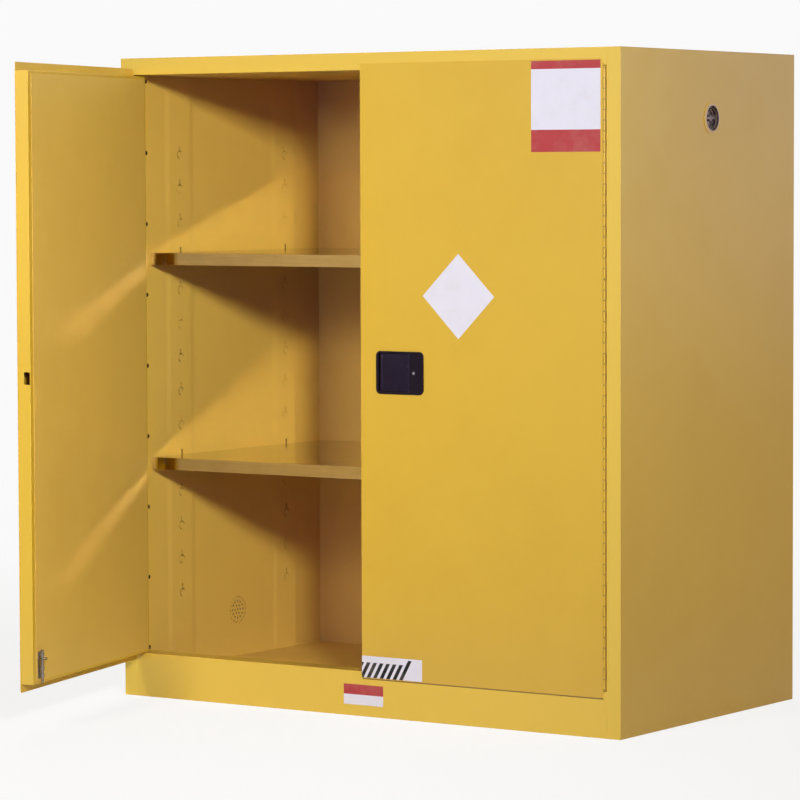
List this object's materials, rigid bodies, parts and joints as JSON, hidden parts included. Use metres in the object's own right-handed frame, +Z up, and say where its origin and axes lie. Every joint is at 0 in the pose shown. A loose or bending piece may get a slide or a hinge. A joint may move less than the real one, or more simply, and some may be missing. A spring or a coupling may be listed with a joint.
{
  "type": "safety storage cabinet",
  "caption": "Double-wall sheet-steel storage cabinet with a pair of hinged doors, adjustable shelves, a spill sump, capped side vents, a paddle latch and an earth stud.",
  "frame": {"origin": "middle of the base, on the floor, under the cabinet's shell", "axes": "+X to the right of someone who faces the doors, +Y from the doors towards the back, +Z up"},
  "size_m": [1.5265, 1.5456, 1.65],
  "materials": {
    "yellow_paint": "semi-gloss powder coat",
    "lining_paint": "semi-gloss powder coat",
    "galvanised_sheet": "galvanised",
    "bright_steel": "zinc plated",
    "rivet_steel": "dull",
    "lock_chrome": "polished",
    "black_latch": "satin black",
    "guide_plastic": "matt",
    "screen_mesh": "woven mesh",
    "bung_metal": "plated",
    "stud_brass": "satin",
    "white_plate": "gloss film",
    "red_plate": "gloss film"
  },
  "bodies": {
    "cabinet": {"side_shell_left": "yellow_paint", "side_shell_right": "yellow_paint", "top_shell": "yellow_paint", "back_panel": "yellow_paint", "base_plate": "yellow_paint", "front_sill": "yellow_paint", "liner_left": "lining_paint", "liner_right": "lining_paint", "liner_back": "lining_paint", "liner_top": "lining_paint", "sump_floor": "lining_paint", "liner_rivets": "rivet_steel", "slot_strips_left": "lining_paint", "slot_strips_right": "lining_paint", "shelf_clips": "galvanised_sheet", "hinge_frame_leaf_left": "yellow_paint", "hinge_frame_leaf_right": "yellow_paint", "hinge_pin_left": "bright_steel", "hinge_pin_right": "bright_steel", "vent_tube_left": "yellow_paint", "vent_tube_right": "yellow_paint", "flame_screen_left": "screen_mesh", "flame_screen_right": "screen_mesh", "earth_stud": "stud_brass", "earth_nuts": "stud_brass", "sill_plate": "red_plate"},
    "left_door": {"door_skin_left": "yellow_paint", "door_pan_left": "yellow_paint", "door_cover_left": "yellow_paint", "hinge_door_leaf_left": "yellow_paint", "slide_bolt_plate": "bright_steel", "slide_bolt_screws": "bright_steel"},
    "left_bolt": {"slide_bolt": "bright_steel"},
    "right_door": {"door_skin_right": "yellow_paint", "door_pan_right": "yellow_paint", "door_cover_right": "yellow_paint", "hinge_door_leaf_right": "yellow_paint", "paddle_housing": "black_latch", "paddle_pin": "bright_steel", "paddle_spring": "bright_steel", "lock_barrel": "lock_chrome", "latch_plate": "bright_steel", "rod_guides": "guide_plastic", "bolt_guide": "guide_plastic", "notice_plate": "white_plate", "diamond_plate": "white_plate", "stripe_plate": "white_plate"},
    "paddle": {"paddle_flap": "black_latch"},
    "lock": {"lock_plug": "lock_chrome", "lock_cam": "bright_steel"},
    "hub": {"latch_hub": "bright_steel"},
    "top_rod_body": {"top_rod": "bright_steel"},
    "bottom_rod_body": {"bottom_rod": "bright_steel"},
    "centre_bolt_body": {"centre_bolt": "bright_steel"},
    "upper_shelf": {"shelf_upper": "galvanised_sheet"},
    "lower_shelf": {"shelf_lower": "galvanised_sheet"},
    "right_bung": {"bung_right": "bung_metal"},
    "left_bung": {"bung_left": "bung_metal"}
  },
  "joints": [
    {"name": "left_door_hinge", "type": "hinge", "parent": "cabinet", "child": "left_door", "pos_m": [-0.707, -0.432, 0.86], "axis": [0, 0, -1], "range_deg": [-75.7, 99.3]},
    {"name": "right_door_hinge", "type": "hinge", "parent": "cabinet", "child": "right_door", "pos_m": [0.707, -0.432, 0.86], "axis": [0, 0, 1], "range_deg": [0, 175]},
    {"name": "left_bolt_slide", "type": "slide", "parent": "left_door", "child": "left_bolt", "axis": [0, 0, -1], "range_m": [0, 0.014]},
    {"name": "paddle_pull", "type": "hinge", "parent": "right_door", "child": "paddle", "pos_m": [0.142, -0.4275, 0.861], "axis": [0, 0, 1], "range_deg": [0, 30], "stiffness_Nm_per_rad": 0.6},
    {"name": "lock_turn", "type": "hinge", "parent": "right_door", "child": "lock", "pos_m": [0.1615, -0.42, 0.861], "axis": [0, 1, 0], "range_deg": [0, 90]},
    {"name": "hub_turn", "type": "hinge", "parent": "right_door", "child": "hub", "pos_m": [0.1, -0.414, 0.837], "axis": [0, -1, 0], "range_deg": [0, 40]},
    {"name": "top_rod_slide", "type": "slide", "parent": "right_door", "child": "top_rod_body", "axis": [0, 0, 1], "range_m": [0, 0.0165]},
    {"name": "bottom_rod_slide", "type": "slide", "parent": "right_door", "child": "bottom_rod_body", "axis": [0, 0, -1], "range_m": [0, 0.0165]},
    {"name": "centre_bolt_slide", "type": "slide", "parent": "right_door", "child": "centre_bolt_body", "axis": [-1, 0, 0], "range_m": [0, 0.0165]},
    {"name": "shelf_upper_lift", "type": "slide", "parent": "cabinet", "child": "upper_shelf", "axis": [0, 0, 1], "range_m": [0, 0.03]},
    {"name": "shelf_lower_lift", "type": "slide", "parent": "cabinet", "child": "lower_shelf", "axis": [0, 0, 1], "range_m": [0, 0.03]},
    {"name": "bung_right_turn", "type": "hinge", "parent": "cabinet", "child": "right_bung", "pos_m": [0.74, 0.008, 1.485], "axis": [1, 0, 0], "range_deg": [0, 360]},
    {"name": "bung_left_turn", "type": "hinge", "parent": "cabinet", "child": "left_bung", "pos_m": [-0.74, 0.008, 0.183], "axis": [-1, 0, 0], "range_deg": [0, 360]}
  ],
  "couplings": [
    {"joint": "top_rod_slide", "follows": "hub_turn", "m_per_rad": 0.023516},
    {"joint": "bottom_rod_slide", "follows": "hub_turn", "m_per_rad": 0.023516},
    {"joint": "centre_bolt_slide", "follows": "hub_turn", "m_per_rad": 0.023516}
  ]
}
